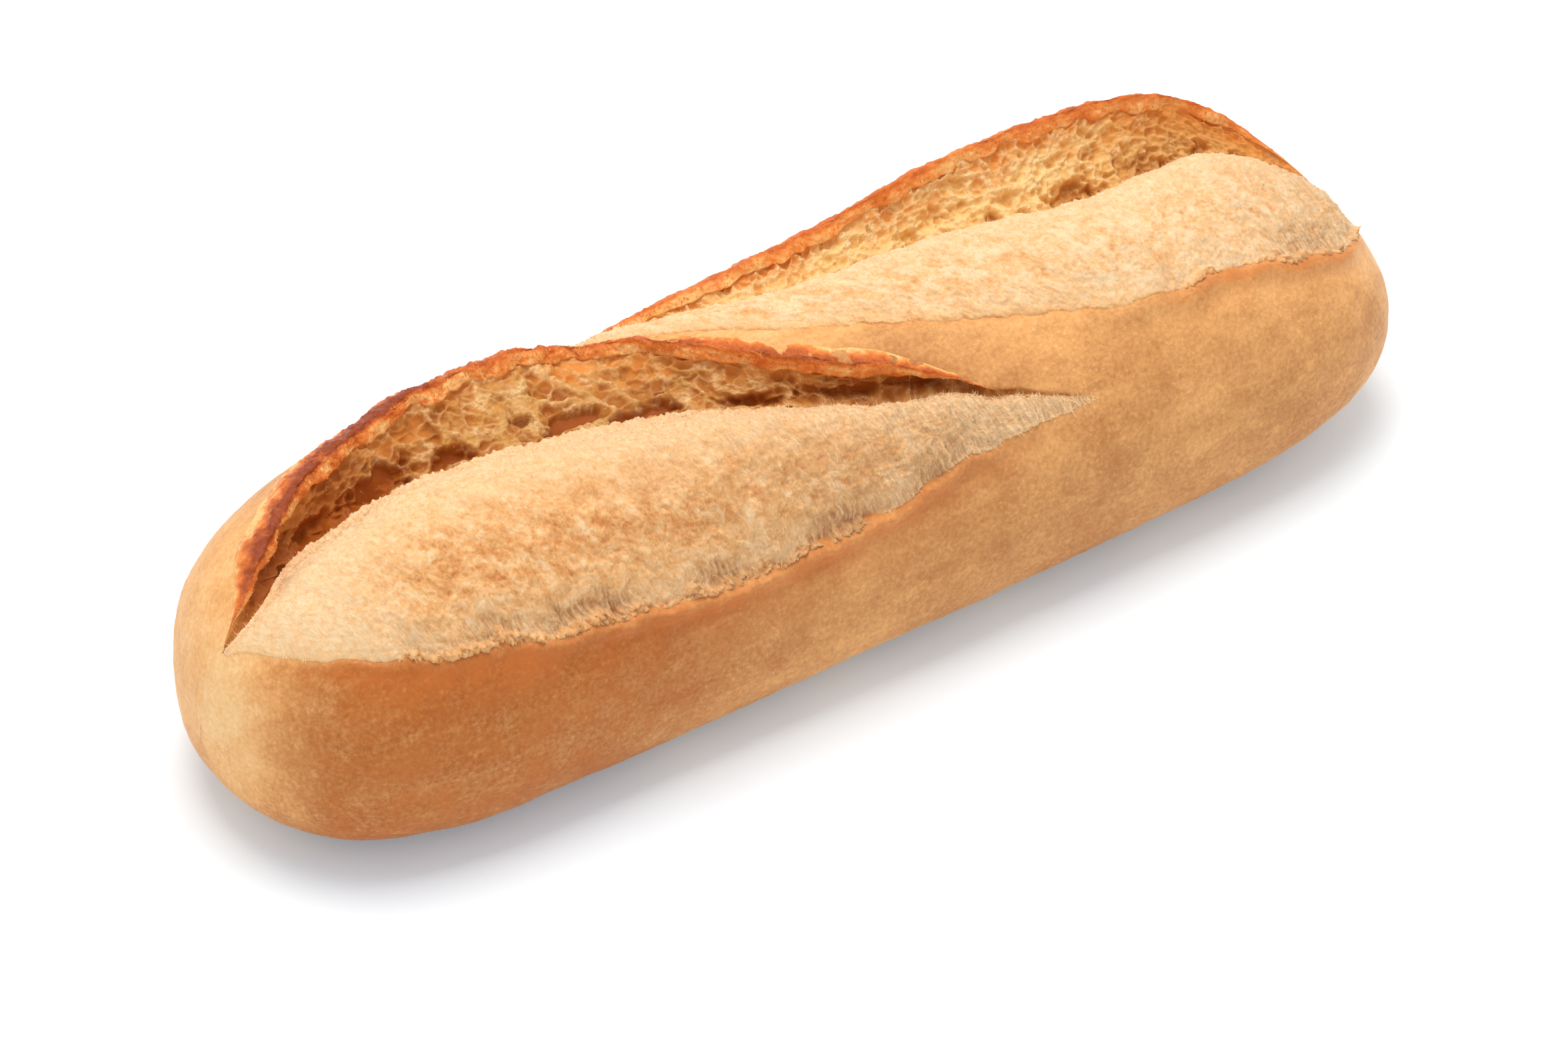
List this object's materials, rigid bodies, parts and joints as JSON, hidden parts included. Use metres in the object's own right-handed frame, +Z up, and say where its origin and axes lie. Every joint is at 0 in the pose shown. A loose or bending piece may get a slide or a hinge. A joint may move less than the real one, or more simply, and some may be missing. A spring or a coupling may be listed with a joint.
{
  "type": "baguette",
  "caption": "Short baguette baked whole: a long rounded loaf with long lengthwise cuts that opened into domes of crumb, each under a raised ear of crust.",
  "frame": {"origin": "centre of the loaf's bounding box at its base, on the surface it rests on", "axes": "+X along the loaf, towards the end under the second cut; +Z up; -Y is the front, the side the cuts' lips are on"},
  "size_m": [0.24, 0.0728, 0.056],
  "materials": {
    "crust": "baked crust, satin, straw to golden brown",
    "crumb": "torn crumb, matt, cream toasted to gold"
  },
  "bodies": {
    "root": {"loaf": "crust"}
  },
  "joints": []
}
